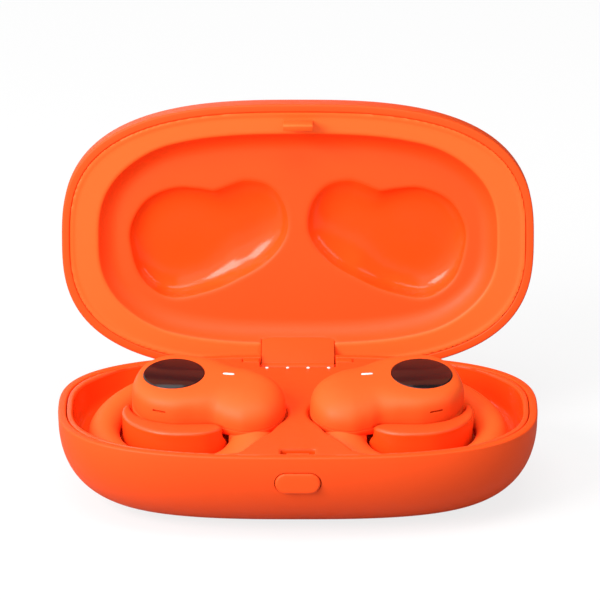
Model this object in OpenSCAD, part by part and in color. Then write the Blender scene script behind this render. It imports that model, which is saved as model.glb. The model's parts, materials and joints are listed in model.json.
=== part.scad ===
// Open-ear earbuds with ear hooks, seated in a charging case whose lid stands open.
// X runs along the case, -Y is the front with the release button, Z is up.
// The origin is the centre of the flat foot under the case. Sizes are in millimetres.

/* [Case] */
// Width of the case
case_w = 96; // [95.5:0.5:98]
// Depth of the case from front to back
case_d = 56; // [56:0.5:57]
// Height of the base's rim above the table
rim_z = 19; // [19:0.1:19.3]
// Height of the lid above its own rim
lid_h = 13.4; // [13:0.1:14.5]
// Gap between the two rims when the lid is shut
seam = 0.3; // [0.3:0.05:0.4]
// Thickness of the two outer shells
wall = 1.6; // [1.5:0.05:1.6]
// How far the lid turns from shut to open, in degrees
lid_open = 97; // [96:0.5:99]
// How far the lid's lining lies behind its rim
lining_depth = 3.4; // [3.2:0.1:3.5]

/* [Seats] */
// Distance of each touch disc from the middle of the case
seat_x = 24.8; // [24.6:0.1:25]
// Distance of each touch disc behind the middle of the case
seat_y = 1.3; // [1.2:0.05:1.4]
// Height of the seated touch discs above the table
seat_z = 25.4; // [25.3:0.1:25.6]
// Forward tilt of the seated earbuds, in degrees
seat_tilt = 8; // [7.8:0.1:8.2]
// Turn of the seated earbuds that brings their inner ends forward, in degrees
seat_turn = 10; // [9:0.5:10.5]

/* [Earbuds] */
// Radius of the touch disc
disc_r = 6.15; // [5.8:0.05:6.3]
// Thickness of the earbud at the speaker end
speaker_depth = 12.5; // [12.3:0.1:12.6]
// Thickness of the earbud at the battery end
battery_depth = 9; // [8.9:0.1:9.1]
// Half width of the ear hook at its root
hook_root = 4.3; // [4:0.1:4.3]
// Half width of the ear hook along its bend
hook_mid = 3.2; // [3:0.05:3.2]
// Half width of the ear hook at its tip
hook_tip = 2.9; // [2.7:0.05:2.9]
// Half thickness of the ear hook
hook_thick = 2.75; // [2.6:0.05:2.75]

/* [Latch and charging] */
// Width of the release button
button_w = 9; // [8.4:0.1:9.2]
// Height of the release button
button_h = 4.4; // [4:0.1:4.6]
// Distance between the two charging pins of one earbud
pin_gap = 3.4; // [3.3:0.05:3.5]
// Radius of a charging pin's tip
pin_r = 0.45; // [0.4:0.01:0.48]

/* [Hidden] */
$fn = 40;
left = -1;
right = 1;

// Plan outline of the case and the curves of its two shells
plan_power = 2.78;
case_n = 56;
base_h = rim_z + 1;
base_reach = 26.6;
base_power = 2.48;
floor_z = 2.4;
inner_reach = 16;
lid_reach = 11.8;
lid_power = 3.17;
lid_crown = 1.25;
lid_rim_z = rim_z + seam;
face_z = lid_rim_z + lining_depth;

// Hinge at the back, just inside the outer wall and below the rim
hinge_y = case_d / 2 - 1.3;
hinge_z = rim_z - 3;
barrel_r = 1.7;
hinge_pin_r = 0.75;
arm_half = 7.4;
arm_y = 21.6;
arm_back = 25.5;
arm_t = 1.1;
ear_in = 7.7;
ear_out = 11;
spring_half = 2.3;
coil_r = 1.05;
coil_wire = 0.22;

// Tray between the two seats
tray_z = 7;
tray_top = rim_z - 0.1;
tray_gap = 0.2;
skirt = 0.3;
notch_y = 21.3;

// Earbud frame: u outwards, v to the back, w up from the touch disc's face
parting_w = -6;
pod_wall = 1;
pod_steps = 3;
pod_outline = [[8.3, -0.8], [7.3, 5.6], [3.2, 9.8], [-3, 10.1], [-10, 8.8], [-17, 6.2], [-21.8, 1.8],
    [-22.9, -4], [-20.9, -9], [-16.4, -11.2], [-12.4, -10.5], [-9.6, -9.4], [-6.2, -9.9],
    [-1.2, -10.7], [4, -9.2], [7.4, -5.2]];
spine_v = -0.7;
spine_in = -14.5;
spine_out = -1;
hook_w = -11;
hook_route = [[-16.9, -8.6, -7.8], [-16.9, -11.6, -9.2], [-14.6, -15.4, -10.6], [-10.6, -18.6, hook_w],
    [-5, -20.2, hook_w], [1, -20.1, hook_w], [6.7, -17.5, hook_w], [11, -13, hook_w],
    [13.3, -7.2, hook_w], [13.3, -1, hook_w], [11.6, 4.9, hook_w], [8.3, 10.4, hook_w],
    [4, 14.8, hook_w], [-0.4, 17.5, hook_w]];
hook_steps = 2;
hook_sides = 12;
wire_r = 0.6;
pin_mid = -15.8;
pin_v = 1;
light_at = [-10.9, 1.3];
mic_u = 1.2;
driver_r = 4.5;
mesh_r = 3;

// Release button, the catch behind it and the lid's hook
button_z = 13.4;
button_y = -case_d / 2 - 0.1;
button_back = button_y + 1.9;
flange_back = button_back + 0.7;
flange_h = button_h - 1.2;
catch_half = 3;
catch_low = 11.4;
catch_foot = 14.4;
catch_lip = 16.3;
catch_top = 17.3;
catch_y = -22.5;
catch_t = 1.2;
room_y = -18.6;
hook_y = -24.7;
hook_low = 15.3;
barb = 0.6;
tab_y = -26;
tab_d = 2.6;

// Charging socket in the back wall
usb_z = 8.23;
usb_w = 8.94;
usb_h = 3.26;
usb_wall = 0.3;
usb_back = 17.4;
usb_mouth = 24.7;

// Battery and board under the tray
cell_size = [34, 18, 4.2];
cell_corner = 1.6;
board_size = [30, 11.4, 1];
board_at = [0, 15, 5.6];

// Charging pin along its axis, and the block that holds a pair
pin_low = -2.8;
pin_step = -2.05;
pin_top = 3.9;
pin_flange_r = 0.72;
block_size = [6.4, 3.6];
block_low = -4.2;
block_top = -1.5;

// Magnet pair under the middle of each earbud
magnet_u = -8;
magnet_r = 2;

// Curves

function smooth(t) = let (c = min(1, max(0, t))) c * c * (3 - 2 * c);
function mean(list) = list * [for (i = list) 1] / len(list);
function middle(ring) = [for (k = [0 : 2]) mean([for (p = ring) p[k]])];

// Point of a spline between q and r, with neighbours p and s
function spline_point(p, q, r, s, t) =
    (2 * q + (r - p) * t + (2 * p - 5 * q + 4 * r - s) * t * t + (3 * q - p - 3 * r + s) * t * t * t) / 2;
function closed_spline(c, steps) = let (n = len(c))
    [for (i = [0 : n - 1], k = [0 : steps - 1])
        spline_point(c[(i + n - 1) % n], c[i], c[(i + 1) % n], c[(i + 2) % n], k / steps)];
function open_spline(c, steps) = let (n = len(c))
    [for (i = [0 : n - 2], k = [0 : i == n - 2 ? steps : steps - 1])
        spline_point(c[max(0, i - 1)], c[i], c[i + 1], c[min(n - 1, i + 2)], k / steps)];

// Solid through a list of rings, from the cap on the first ring to the cap on the last
module loft(rings) {
    n = len(rings[0]);
    m = len(rings);
    points = concat([for (r = rings) each r], [middle(rings[0]), middle(rings[m - 1])]);
    sides = [for (k = [0 : m - 2], i = [0 : n - 1]) let (a = k * n, b = a + n, j = (i + 1) % n)
        each [[a + i, b + i, b + j], [a + i, b + j, a + j]]];
    first = [for (i = [0 : n - 1]) [i, (i + 1) % n, m * n]];
    last = [for (i = [0 : n - 1]) [(m - 1) * n + (i + 1) % n, (m - 1) * n + i, m * n + 1]];
    polyhedron(points, concat(sides, first, last));
}

// Case curves

function case_ring(inset, z) = let (e = 2 / plan_power)
    [for (i = [0 : case_n - 1]) let (c = cos(360 * i / case_n), s = sin(360 * i / case_n))
        [(case_w / 2 - inset) * sign(c) * pow(abs(c), e), (case_d / 2 - inset) * sign(s) * pow(abs(s), e), z]];
// How far a bulging wall has drawn in at a share of its height
function draw_in(reach, share, power) = reach * (1 - pow(max(0, 1 - pow(share, power)), 1 / power));
// Share of the height at step t of a bulging wall, close together where it turns in
function bulge_share(t, power) = pow(sin(90 * t), 2 / power);
function base_inset(z) = draw_in(base_reach, (rim_z - z) / base_h, base_power);
function cavity_inset(z) = wall + draw_in(inner_reach, (rim_z - z) / (rim_z - floor_z), base_power);
function lid_inset(z) = draw_in(lid_reach, (z - lid_rim_z) / lid_h, lid_power);
function lid_cavity_inset(z) = wall + draw_in(lid_reach - 1.2, (z - lid_rim_z) / (lid_h - lid_crown), lid_power);

// Carries the lid's pieces from shut to open
module opened() {
    translate([0, hinge_y, hinge_z])
        rotate([-lid_open, 0, 0])
            translate([0, -hinge_y, -hinge_z])
                children();
}

// Box from its low corner to its high corner
module span(low, high) {
    translate(low)
        cube(high - low);
}

// Upright pill, width along X and height along Z, from front to back
module pill(w, h, front, back) {
    translate([0, back, 0])
        rotate([90, 0, 0])
            linear_extrude(back - front)
                pill_outline(w, h);
}

module pill_outline(w, h) {
    square([w - h, h], center = true);
    for (s = [-1, 1])
        translate([s * (w - h) / 2, 0])
            circle(h / 2);
}

// Plate with rounded corners, centred, rising from z = 0
module rounded_plate(size, r) {
    linear_extrude(size[2]) {
        square([size[0] - 2 * r, size[1]], center = true);
        square([size[0], size[1] - 2 * r], center = true);
        for (x = [-1, 1], y = [-1, 1])
            translate([x * (size[0] / 2 - r), y * (size[1] / 2 - r)])
                circle(r);
    }
}

// Wire along a list of points, square to one fixed direction
module wire(route, r, sides, flat) {
    n = len(route);
    loft([for (i = [0 : n - 1]) let (
        along = route[min(n - 1, i + 1)] - route[max(0, i - 1)],
        across = cross(along, flat),
        a = across / norm(across),
        b = cross(a, along) / norm(along))
        [for (k = [0 : sides - 1]) route[i] + r * (a * cos(360 * k / sides) - b * sin(360 * k / sides))]]);
}

// Case base

module base_shell() {
    color([1, 0.36, 0.14])
        difference() {
            union() {
                loft(concat(
                    [case_ring(base_inset(0), 0)],
                    [for (t = [0.74 : -0.12 : 0.1]) let (z = rim_z - base_h * bulge_share(t, base_power))
                        case_ring(base_inset(z), z)],
                    [case_ring(0, rim_z), case_ring(wall, rim_z)],
                    [for (t = [0.1, 0.26, 0.44, 0.62, 0.8, 1]) let (
                        z = rim_z - (rim_z - floor_z) * bulge_share(t, base_power))
                        case_ring(cavity_inset(z), z)]));
                for (s = [left, right])
                    mirror([s < 0 ? 1 : 0, 0, 0])
                        span([ear_in, hinge_y - 2.4, hinge_z - 1.9], [ear_out, hinge_y + 0.9, hinge_z + 2.1]);
            }
            span([-ear_in, notch_y, hinge_z - 2.2], [ear_in, case_d, rim_z + 1]);
            translate([-ear_out - 1, hinge_y, hinge_z])
                rotate([0, 90, 0])
                    cylinder(r = hinge_pin_r + 0.02, h = 2 * ear_out + 2);
            translate([0, 0, button_z]) {
                pill(button_w + 0.4, button_h + 0.4, -case_d, room_y);
                pill(button_w + 2, flange_h + 0.4, button_back - 0.05, room_y);
            }
            translate([0, 0, usb_z])
                pill(usb_w + 0.56, usb_h + 0.54, usb_back - 1.4, case_d);
        }
}

// Solid that fills the base between two heights, drawn in from its inner wall
module base_fill(gap, low, high) {
    steps = 3;
    loft([for (k = [0 : steps]) let (z = low + (high - low) * k / steps)
        case_ring(cavity_inset(min(z, rim_z)) + gap, z)]);
}

module tray() {
    color([1, 0.38, 0.15])
        difference() {
            base_fill(tray_gap, tray_z, tray_top);
            for (s = [left, right])
                mirror([s < 0 ? 1 : 0, 0, 0])
                    seat_cuts();
            span([-ear_in, notch_y, hinge_z - 2.4], [ear_in, case_d, rim_z]);
            span([-ear_out - 0.3, hinge_y - 2.7, hinge_z - 2.2], [ear_out + 0.3, case_d, rim_z]);
            span([-6, 15, 0], [6, case_d, usb_z + 2.2]);
            latch_room();
        }
}

// Everything that one earbud takes out of the tray: pocket, hook channel, pins and magnet
module seat_cuts() {
    intersection() {
        base_fill(tray_gap + skirt, tray_z + 0.6, rim_z + 4);
        seat()
            hook_channel();
    }
    seat() {
        pocket();
        for (k = [-1, 1])
            pin_place(k)
                translate([0, 0, -2])
                    cylinder(r = pin_r + 0.12, h = 10);
        pin_place(0)
            translate([0, 0, -9])
                span([-block_size[0] / 2 - 0.1, -block_size[1] / 2 - 0.1, 0],
                    [block_size[0] / 2 + 0.1, block_size[1] / 2 + 0.1, 9 + block_top + 0.1]);
        translate([magnet_u, 0, -30])
            cylinder(r = magnet_r + 0.3, h = 17.1);
    }
}

// Slot for the lid's hook, with room behind and below for the catch to move
module latch_room() {
    wide = catch_half + 0.4;
    span([-wide, -case_d, catch_low], [wide, catch_y - 0.5, rim_z]);
    span([-button_w / 2 - 1.1, -case_d, catch_low - 1.6], [button_w / 2 + 1.1, room_y, catch_lip + 0.3]);
    span([-wide, catch_y - 0.7, catch_lip], [wide, catch_y + 2.8, catch_top + 0.3]);
}

module case_battery() {
    color([0.75, 0.76, 0.78])
        translate([0, 0, floor_z])
            rounded_plate(cell_size, cell_corner);
}

module charging_board() {
    color([0.1, 0.35, 0.2])
        translate(board_at)
            rounded_plate(board_size, 1);
}

module usb_socket() {
    color([0.7, 0.7, 0.72])
        translate([0, 0, usb_z])
            difference() {
                pill(usb_w, usb_h, usb_back, usb_mouth);
                pill(usb_w - 2 * usb_wall, usb_h - 2 * usb_wall, usb_back + 0.8, case_d);
            }
    color([0.1, 0.1, 0.1])
        translate([0, 0, usb_z])
            span([-3.3, usb_back + 0.6, -0.35], [3.3, usb_mouth - 1.1, 0.35]);
}

// Hinge

module hinge_pin() {
    color([0.78, 0.78, 0.8])
        translate([-ear_out + 0.4, hinge_y, hinge_z])
            rotate([0, 90, 0])
                cylinder(r = hinge_pin_r, h = 2 * ear_out - 0.8);
}

// Torsion spring round the pin, one leg down in the base and one back against the open lid's arm
module hinge_spring() {
    turns = 3.25;
    rings = 10;
    long = 2 * spring_half - 1.2;
    coil = [for (k = [0 : turns * rings]) let (a = 360 * k / rings)
        [long * (k / (turns * rings) - 0.5), hinge_y - coil_r * cos(a), hinge_z - coil_r * sin(a)]];
    color([0.8, 0.8, 0.82])
        wire(concat([coil[0] + [-0.05, 0, 0.7], coil[0] + [-0.03, 0, 0.35]], coil), coil_wire, 5, [1, 0, 0]);
}

// Arm from the lid's lining down to two knuckles on the pin
module hinge_arm() {
    color([1, 0.37, 0.14])
        opened()
            difference() {
                rotate([90, 0, 90])
                    translate([0, 0, -arm_half])
                        linear_extrude(2 * arm_half) {
                            polygon([[arm_y, face_z], [hinge_y - 1.75, hinge_z - 0.4],
                                [hinge_y + 1.6, hinge_z + 0.4], [hinge_y + 1, lid_rim_z - seam],
                                [arm_back + 0.4, lid_rim_z + 0.1], [arm_back, face_z + arm_t], [arm_y, face_z + arm_t]]);
                            translate([hinge_y, hinge_z])
                                circle(barrel_r);
                        }
                translate([-arm_half - 1, hinge_y, hinge_z])
                    rotate([0, 90, 0])
                        cylinder(r = hinge_pin_r + 0.05, h = 2 * arm_half + 2);
                spring_room();
            }
}

// Room between the knuckles for the spring, shut towards the inside of the case
module spring_room() {
    translate([-spring_half, hinge_y, hinge_z])
        rotate([0, 90, 0])
            cylinder(r = coil_r + coil_wire + 0.15, h = 2 * spring_half);
    span([-spring_half, 0, 0], [spring_half, case_d, hinge_z - 0.4]);
    span([-spring_half, hinge_y, 0], [spring_half, case_d, hinge_z + 2]);
}

// Lid

module lid_shell() {
    color([1, 0.36, 0.14])
        opened()
            loft(concat(
                [for (t = [0.96 : -0.16 : 0.1]) let (z = lid_rim_z + (lid_h - lid_crown) * bulge_share(t, lid_power))
                    case_ring(lid_cavity_inset(z), z)],
                [case_ring(wall, lid_rim_z), case_ring(0, lid_rim_z)],
                [for (t = [0.2 : 0.16 : 1.01]) let (z = lid_rim_z + lid_h * bulge_share(min(1, t), lid_power))
                    case_ring(lid_inset(z), z)]));
}

// Lining with a sloping rim, a flat face and a hollow over each earbud
module lid_lining() {
    skin = 0.95;
    edge = wall + 0.12;
    color([1, 0.36, 0.14])
        opened()
            difference() {
                union() {
                    loft([case_ring(7.4, face_z), case_ring(6.9, face_z - 0.15), case_ring(2.6, lid_rim_z + 0.15),
                        case_ring(2.3, lid_rim_z), case_ring(edge, lid_rim_z), case_ring(edge, lid_rim_z + 1),
                        case_ring(6.5, face_z + skin)]);
                    for (s = [left, right])
                        mirror([s < 0 ? 1 : 0, 0, 0])
                            hollow_back(skin);
                }
                for (s = [left, right])
                    mirror([s < 0 ? 1 : 0, 0, 0])
                        seat()
                            hollow();
                span([-arm_half - 0.1, 21.5, 0], [arm_half + 0.1, case_d, face_z + 2]);
                span([-catch_half - 0.05, tab_y - 0.05, 0], [catch_half + 0.05, tab_y + tab_d + 0.05, face_z - 0.6]);
            }
}

// Wall behind a hollow, standing on the back of the lining
module hollow_back(skin) {
    translate([seat_x, seat_y, face_z + skin / 2])
        rotate(seat_turn)
            linear_extrude(seat_z + 1.8 - face_z)
                polygon([for (p = pod_edge(1.6)) [p[0], p[1]]]);
}

// Hook under the front of the lid that the catch holds
module latch_hook() {
    color([1, 0.36, 0.14])
        opened() {
            span([-catch_half, tab_y, lid_rim_z + 0.5], [catch_half, tab_y + tab_d, face_z - 0.7]);
            translate([-catch_half + 0.2, hook_y, 0])
                rotate([90, 0, 90])
                    linear_extrude(2 * catch_half - 0.4)
                        polygon([[0, lid_rim_z + 0.6], [0, hook_low + 0.4], [0.3, hook_low], [0.8 + barb, hook_low + 0.5],
                            [0.8 + barb, hook_low + 0.7], [0.8, hook_low + 0.7], [0.8, lid_rim_z + 0.6]]);
        }
}

// Release button

module release_button() {
    color([1, 0.38, 0.15])
        translate([0, 0, button_z]) {
            pill(button_w, button_h, button_y, button_back);
            pill(button_w + 1.6, flange_h, button_back, flange_back);
        }
}

// Catch that moves with the button: a foot behind it, a plate and a lip over the lid's hook
module latch_bar() {
    color([1, 0.38, 0.15])
        rotate([90, 0, 90])
            translate([0, 0, -catch_half])
                linear_extrude(2 * catch_half)
                    polygon([[flange_back, catch_low], [catch_y + catch_t, catch_low], [catch_y + catch_t, catch_top],
                        [catch_y, catch_top], [catch_y - 1.2, catch_lip + 0.3], [catch_y - 1.2, catch_lip],
                        [catch_y, catch_lip], [catch_y, catch_foot], [flange_back, catch_foot]]);
}

// Compression spring between the catch and the back of its room
module latch_spring() {
    turns = 3.5;
    rings = 9;
    y0 = catch_y + catch_t + 0.2;
    y1 = room_y - 0.2;
    color([0.8, 0.8, 0.82])
        wire([for (k = [0 : turns * rings]) let (a = 360 * k / rings)
            [1.2 * cos(a), y0 + (y1 - y0) * k / (turns * rings), 13 + 1.2 * sin(a)]], 0.17, 4, [0, 1, 0]);
}

// Earbud curves

pod_edge_line = closed_spline(pod_outline, pod_steps);
pod_n = len(pod_edge_line);
// Outline of the earbud, grown outwards
function pod_edge(grow) = [for (i = [0 : pod_n - 1]) let (
    d = pod_edge_line[(i + 1) % pod_n] - pod_edge_line[(i + pod_n - 1) % pod_n])
    pod_edge_line[i] + grow * [d[1], -d[0]] / norm(d)];
// Point at share rho from the spine to the outline point p
function pod_in(p, rho) = let (m = [min(spine_out, max(spine_in, p[0])), spine_v]) m + rho * (p - m);
function dome(rho, power) = pow(max(0, 1 - pow(rho, power)), 1 / power);
// Ring of the upper half, flat round the touch disc and domed at the battery end
function crown_ring(rho, grow, top) = [for (p = pod_edge(grow)) let (q = pod_in(p, rho),
    power = 2.8 + 2.4 * smooth((p[0] + 12) / 9))
    [q[0], q[1], parting_w + (top - parting_w) * dome(rho, power)]];
// Ring of the lower half, deeper under the speaker than under the battery
function belly_ring(rho, grow, extra) = [for (p = pod_edge(grow)) let (q = pod_in(p, rho),
    deep = battery_depth + (speaker_depth - battery_depth) * smooth((q[0] + 13) / 8) + extra)
    [q[0], q[1], parting_w - (deep + parting_w) * dome(rho, 2.8)]];
function edge_ring(grow, w) = [for (p = pod_edge(grow)) [p[0], p[1], w]];

// Carries an earbud's pieces to the right-hand seat
module seat() {
    translate([seat_x, seat_y, seat_z])
        rotate([seat_tilt, 0, seat_turn])
            children();
}

// Carries an earbud's pieces to the seat on one side
module bud(side) {
    mirror([side < 0 ? 1 : 0, 0, 0])
        seat()
            children();
}

// Place under one charging pad: k is -1 for the inner one, 1 for the outer one, 0 between them
module pin_place(k) {
    translate([pin_mid + k * pin_gap / 2, pin_v, -battery_depth - 4])
        children();
}

module pocket() {
    loft(concat([for (rho = [0.12, 0.45, 0.7, 0.88, 0.97, 1]) belly_ring(rho, 0.5, 0.4)],
        [edge_ring(0.5, 12)]));
}

module hollow() {
    loft(concat([edge_ring(1, -18)],
        [for (rho = [1, 0.97, 0.89, 0.75, 0.55, 0.12]) crown_ring(rho, 1, 0.7)]));
}

// Hook route as a smooth line, with half widths along it
hook_line = open_spline(hook_route, hook_steps);
hook_n = len(hook_line);
function hook_half(t) = hook_root + (hook_mid - hook_root) * smooth(t / 0.3)
    + (hook_tip - hook_mid) * smooth((t - 0.6) / 0.4);
function hook_side(i) = let (d = hook_line[min(hook_n - 1, i + 1)] - hook_line[max(0, i - 1)],
    flat = [d[1], -d[0], 0]) flat / norm(flat);
function hook_end() = let (d = hook_line[hook_n - 1] - hook_line[hook_n - 2]) d / norm(d);
function hook_ring(at, side, half, thick) = [for (k = [0 : hook_sides - 1]) let (a = 360 * k / hook_sides)
    at + side * half * cos(a) - [0, 0, thick * sin(a)]];

// Channel for the hook, open outwards as far as the tray's own skirt
module hook_channel() {
    inner = [for (i = [0 : hook_n - 1]) let (t = i / (hook_n - 1))
        hook_line[i] - hook_side(i) * (hook_half(t) + 0.55)];
    outer = [for (i = [0 : hook_n - 1]) let (t = i / (hook_n - 1))
        hook_line[i] + hook_side(i) * (hook_half(t) + 0.6 + 8 * smooth((t - 0.1) / 0.2) * smooth((1 - t) / 0.2))];
    tip = [for (a = [20 : 20 : 160]) hook_line[hook_n - 1]
        + (hook_tip + 0.6) * (hook_end() * sin(a) - hook_side(hook_n - 1) * cos(a))];
    loop = concat(inner, tip, [for (i = [hook_n - 1 : -1 : 0]) outer[i]]);
    translate([0, 0, hook_w - hook_thick - 0.45])
        linear_extrude(30)
            polygon([for (p = loop) [p[0], p[1]]]);
}

// Earbuds

module outer_shell(side) {
    color([1, 0.42, 0.18])
        bud(side)
            difference() {
                loft(concat(
                    [for (rho = [0.12, 0.6, 0.9, 1]) crown_ring(rho, -pod_wall, -1.6)],
                    [for (rho = [1, 0.985, 0.95, 0.88, 0.76, 0.58, 0.3, 0.12]) crown_ring(rho, 0, 0)]));
                translate([0, 0, -0.95])
                    cylinder(r = disc_r + 0.05, h = 5);
                translate([light_at[0], light_at[1], -3])
                    linear_extrude(6)
                        pill_outline(2.5, 0.8);
                translate([mic_u, 0, -3.1])
                    pill(2.8, 0.5, -20, -8);
            }
}

module inner_shell(side) {
    color([1, 0.4, 0.17])
        bud(side)
            difference() {
                loft(concat(
                    [for (rho = [0.12, 0.45, 0.7, 0.88, 0.97, 1]) belly_ring(rho, 0, 0)],
                    [for (rho = [1, 0.9, 0.6, 0.12]) belly_ring(rho, -pod_wall, -1.1)]));
                translate([0, 0, -20])
                    cylinder(r = mesh_r + 0.05, h = 10);
                for (k = [-1, 1])
                    pin_place(k)
                        cylinder(r = 0.95, h = 8);
            }
}

module touch_disc(side) {
    color([0.12, 0.11, 0.12])
        bud(side)
            translate([0, 0, -0.92])
                rotate_extrude($fn = 64)
                    polygon([[0, 0], [disc_r, 0], [disc_r, 0.75], [disc_r - 0.2, 0.92], [disc_r - 1, 1.0], [0, 1.05]]);
}

module light_pipe(side) {
    color([0.95, 0.95, 0.95])
        bud(side)
            translate([light_at[0], light_at[1], -1.9])
                linear_extrude(1.9)
                    pill_outline(2.4, 0.7);
}

module ear_hook(side) {
    color([1, 0.45, 0.2])
        bud(side)
            loft(concat(
                [for (i = [0 : hook_n - 1]) let (t = i / (hook_n - 1))
                    hook_ring(hook_line[i], hook_side(i), hook_half(t), hook_thick)],
                [for (a = [30, 60, 80]) hook_ring(hook_line[hook_n - 1] + hook_end() * hook_tip * sin(a),
                    hook_side(hook_n - 1), hook_tip * cos(a), hook_thick * cos(a))]));
}

module hook_wire(side) {
    color([0.75, 0.75, 0.78])
        bud(side)
            wire([for (i = [1 : 2 : hook_n - 2]) hook_line[i]], wire_r, 6, [0, 0, 1]);
}

module bud_battery(side) {
    color([0.75, 0.76, 0.78])
        bud(side)
            translate([-14.3, 0.2, -7])
                cylinder(r = 4.4, h = 2.4);
}

module bud_board(side) {
    color([0.1, 0.35, 0.2])
        bud(side)
            translate([-7.5, -0.4, -4.2])
                rounded_plate([15, 9, 0.8], 2);
}

module driver(side) {
    color([0.5, 0.5, 0.53])
        bud(side)
            translate([-0.8, -0.4, -10.3]) {
                cylinder(r = driver_r, h = 2.2);
                cylinder(r = driver_r - 1.4, h = 3.4);
            }
}

module speaker_mesh(side) {
    pitch = 0.95;
    color([0.2, 0.2, 0.21])
        bud(side)
            translate([0, 0, -speaker_depth + 0.25])
                difference() {
                    cylinder(r = mesh_r, h = 0.5);
                    for (i = [-2 : 2], j = [-2 : 2])
                        if (abs(i + j) <= 2)
                            translate([pitch * (i + j / 2), pitch * j * sin(60), -1])
                                cylinder(r = 0.3, h = 3);
                }
}

module microphone(side) {
    color([0.7, 0.66, 0.5])
        bud(side)
            span([mic_u - 1.4, -7.8, -3.7], [mic_u + 1.4, -6.6, -2.5]);
}

module contacts(side) {
    color([0.85, 0.68, 0.3])
        bud(side)
            for (k = [-1, 1])
                pin_place(k)
                    translate([0, 0, 3.95])
                        cylinder(r = 0.9, h = 1.3);
}

module bud_magnet(side) {
    color([0.6, 0.6, 0.62])
        bud(side)
            translate([magnet_u, 0, -8.6])
                cylinder(r = magnet_r, h = 1.2);
}

// Charging pins and magnets in the tray

module seat_magnet(side) {
    color([0.6, 0.6, 0.62])
        bud(side)
            translate([magnet_u, 0, -15])
                cylinder(r = magnet_r + 0.2, h = 2);
}

module pin_block(side) {
    color([0.15, 0.15, 0.16])
        bud(side)
            pin_place(0)
                difference() {
                    span([-block_size[0] / 2, -block_size[1] / 2, block_low],
                        [block_size[0] / 2, block_size[1] / 2, block_top]);
                    for (k = [-1, 1])
                        translate([k * pin_gap / 2, 0, 0]) {
                            translate([0, 0, pin_low - 0.8])
                                cylinder(r = pin_flange_r + 0.08, h = 1.6);
                            translate([0, 0, pin_low - 0.2])
                                cylinder(r = pin_r + 0.05, h = 3);
                        }
                }
}

module pin(side, k) {
    color([0.85, 0.68, 0.3])
        bud(side)
            pin_place(k)
                rotate_extrude()
                    polygon([[0, pin_low], [pin_flange_r, pin_low], [pin_flange_r, pin_step], [pin_r, pin_step],
                        [pin_r, pin_top - 0.25], [pin_r * 0.6, pin_top - 0.05], [0, pin_top]]);
}

base_shell();
tray();
lid_shell();
lid_lining();
hinge_arm();
hinge_pin();
hinge_spring();
latch_hook();
release_button();
latch_bar();
latch_spring();
case_battery();
charging_board();
usb_socket();
pin_block(left);  // left_pin_block
pin_block(right);  // right_pin_block
pin(left, -1);  // left_inner_pin
pin(left, 1);  // left_outer_pin
pin(right, -1);  // right_inner_pin
pin(right, 1);  // right_outer_pin
seat_magnet(left);  // left_seat_magnet
seat_magnet(right);  // right_seat_magnet
outer_shell(left);  // left_outer_shell
outer_shell(right);  // right_outer_shell
inner_shell(left);  // left_inner_shell
inner_shell(right);  // right_inner_shell
touch_disc(left);  // left_touch_disc
touch_disc(right);  // right_touch_disc
light_pipe(left);  // left_light_pipe
light_pipe(right);  // right_light_pipe
ear_hook(left);  // left_ear_hook
ear_hook(right);  // right_ear_hook
hook_wire(left);  // left_hook_wire
hook_wire(right);  // right_hook_wire
bud_battery(left);  // left_battery
bud_battery(right);  // right_battery
bud_board(left);  // left_board
bud_board(right);  // right_board
driver(left);  // left_driver
driver(right);  // right_driver
speaker_mesh(left);  // left_speaker_mesh
speaker_mesh(right);  // right_speaker_mesh
microphone(left);  // left_microphone
microphone(right);  // right_microphone
contacts(left);  // left_contacts
contacts(right);  // right_contacts
bud_magnet(left);  // left_magnet
bud_magnet(right);  // right_magnet
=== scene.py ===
import json
import math

import bmesh
import bpy
import numpy as np
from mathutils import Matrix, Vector


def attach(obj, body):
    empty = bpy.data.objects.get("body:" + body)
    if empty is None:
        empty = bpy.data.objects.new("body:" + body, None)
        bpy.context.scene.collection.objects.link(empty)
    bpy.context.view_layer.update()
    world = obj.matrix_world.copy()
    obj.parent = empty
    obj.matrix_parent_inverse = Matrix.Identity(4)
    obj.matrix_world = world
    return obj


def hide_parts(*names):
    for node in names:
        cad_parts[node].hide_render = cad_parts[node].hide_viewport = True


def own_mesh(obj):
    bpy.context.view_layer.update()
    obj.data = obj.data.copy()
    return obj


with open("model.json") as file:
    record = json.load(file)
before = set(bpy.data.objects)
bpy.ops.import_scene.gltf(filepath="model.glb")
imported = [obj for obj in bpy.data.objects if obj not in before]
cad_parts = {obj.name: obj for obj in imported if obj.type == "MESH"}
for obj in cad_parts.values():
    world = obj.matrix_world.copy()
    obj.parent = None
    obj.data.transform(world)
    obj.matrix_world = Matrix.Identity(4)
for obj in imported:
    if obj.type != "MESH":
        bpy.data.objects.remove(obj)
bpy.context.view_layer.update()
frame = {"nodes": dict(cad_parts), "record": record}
nodes = frame["nodes"]
print("frame loaded:", len(nodes), "solids")

mm = 0.001


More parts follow.
